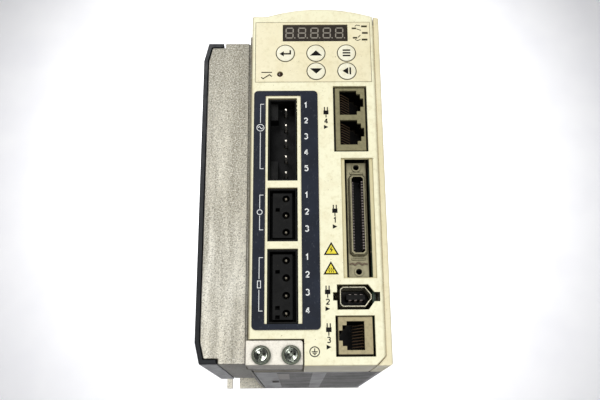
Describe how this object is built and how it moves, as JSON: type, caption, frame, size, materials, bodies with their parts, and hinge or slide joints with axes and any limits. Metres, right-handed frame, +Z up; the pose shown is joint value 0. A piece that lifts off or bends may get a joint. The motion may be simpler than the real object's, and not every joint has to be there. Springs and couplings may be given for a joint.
{
  "type": "servo drive",
  "caption": "Cabinet-mounted servo drive: cream plastic case on a finned casting with a side fan, keypad, display, power terminals and signal connectors.",
  "frame": {"origin": "middle of the flat rear mounting face", "axes": "+Z up as mounted, +Y into the panel behind the drive, so the keypad and connectors face -Y"},
  "size_m": [0.085, 0.186, 0.1668],
  "materials": {
    "case_plastic": "fine-textured cream moulding, slightly aged",
    "keypad_film": "satin printed film",
    "key_plastic": "satin",
    "display_window": "smoked, clear gloss",
    "display_face": "dark face with unlit grey segments",
    "lamp": "unlit indicator",
    "cast_aluminium": "grainy die casting",
    "black_plastic": "fine-textured black moulding",
    "zinc_steel": "bright zinc plating",
    "terminal_label": "satin navy print with white marks",
    "header_plastic": "satin black",
    "contact_metal": "bright tin plating",
    "jack_plastic": "olive-beige moulding",
    "connector_shell": "plated sheet steel",
    "circuit_board": "solder-masked board",
    "thermal_pad": "grey silicone",
    "component_plastic": "moulded component cases",
    "ferrite": "coated ring core",
    "resistor_case": "plain metal case",
    "capacitor_sleeve": "shrink sleeve",
    "cable": "flat ribbon"
  },
  "bodies": {
    "drive": {"front_cover": "case_plastic", "housing_shell": "case_plastic", "keypad_overlay": "keypad_film", "display_window": "display_window", "display_module": "display_face", "charge_lamp": "lamp", "heat_sink": "cast_aluminium", "fan_shroud": "black_plastic", "fan_frame": "black_plastic", "ground_screw_left": "zinc_steel", "ground_screw_right": "zinc_steel", "ground_washer_left": "zinc_steel", "ground_washer_right": "zinc_steel", "fan_screw_1": "zinc_steel", "fan_screw_2": "zinc_steel", "fan_screw_3": "zinc_steel", "fan_screw_4": "zinc_steel", "housing_screw_1": "zinc_steel", "housing_screw_2": "zinc_steel", "terminal_label": "terminal_label", "mains_header": "header_plastic", "motor_header": "header_plastic", "braking_header": "header_plastic", "io_connector_insert": "header_plastic", "encoder_insert": "header_plastic", "mains_pin_1": "contact_metal", "mains_pin_2": "contact_metal", "mains_pin_3": "contact_metal", "mains_pin_4": "contact_metal", "mains_pin_5": "contact_metal", "motor_pin_1": "contact_metal", "motor_pin_2": "contact_metal", "motor_pin_3": "contact_metal", "braking_pin_1": "contact_metal", "braking_pin_2": "contact_metal", "braking_pin_3": "contact_metal", "braking_pin_4": "contact_metal", "can_jack": "jack_plastic", "comm_jack": "jack_plastic", "io_connector_shell": "connector_shell", "encoder_shell": "connector_shell", "display_board": "circuit_board", "control_board": "circuit_board", "power_board": "circuit_board", "thermal_pad": "thermal_pad", "power_module": "component_plastic", "relay": "component_plastic", "transformer": "component_plastic", "filter_choke": "ferrite", "braking_resistor": "resistor_case", "capacitor_1": "capacitor_sleeve", "capacitor_2": "capacitor_sleeve", "link_cable": "cable"},
    "key_enter": {"key_enter": "key_plastic"},
    "key_up": {"key_up": "key_plastic"},
    "key_mode": {"key_mode": "key_plastic"},
    "key_down": {"key_down": "key_plastic"},
    "key_shift": {"key_shift": "key_plastic"},
    "rotor": {"fan_rotor": "black_plastic"}
  },
  "joints": [
    {"name": "key_enter_press", "type": "slide", "parent": "drive", "child": "key_enter", "axis": [0, 1, 0], "range_m": [0, 0.0004], "stiffness_N_per_m": 1500},
    {"name": "key_up_press", "type": "slide", "parent": "drive", "child": "key_up", "axis": [0, 1, 0], "range_m": [0, 0.0004], "stiffness_N_per_m": 1500},
    {"name": "key_mode_press", "type": "slide", "parent": "drive", "child": "key_mode", "axis": [0, 1, 0], "range_m": [0, 0.0004], "stiffness_N_per_m": 1500},
    {"name": "key_down_press", "type": "slide", "parent": "drive", "child": "key_down", "axis": [0, 1, 0], "range_m": [0, 0.0004], "stiffness_N_per_m": 1500},
    {"name": "key_shift_press", "type": "slide", "parent": "drive", "child": "key_shift", "axis": [0, 1, 0], "range_m": [0, 0.0004], "stiffness_N_per_m": 1500},
    {"name": "rotor_spin", "type": "hinge", "parent": "drive", "child": "rotor", "pos_m": [-0.0355, -0.107, -0.0005], "axis": [1, 0, 0], "continuous": true}
  ]
}
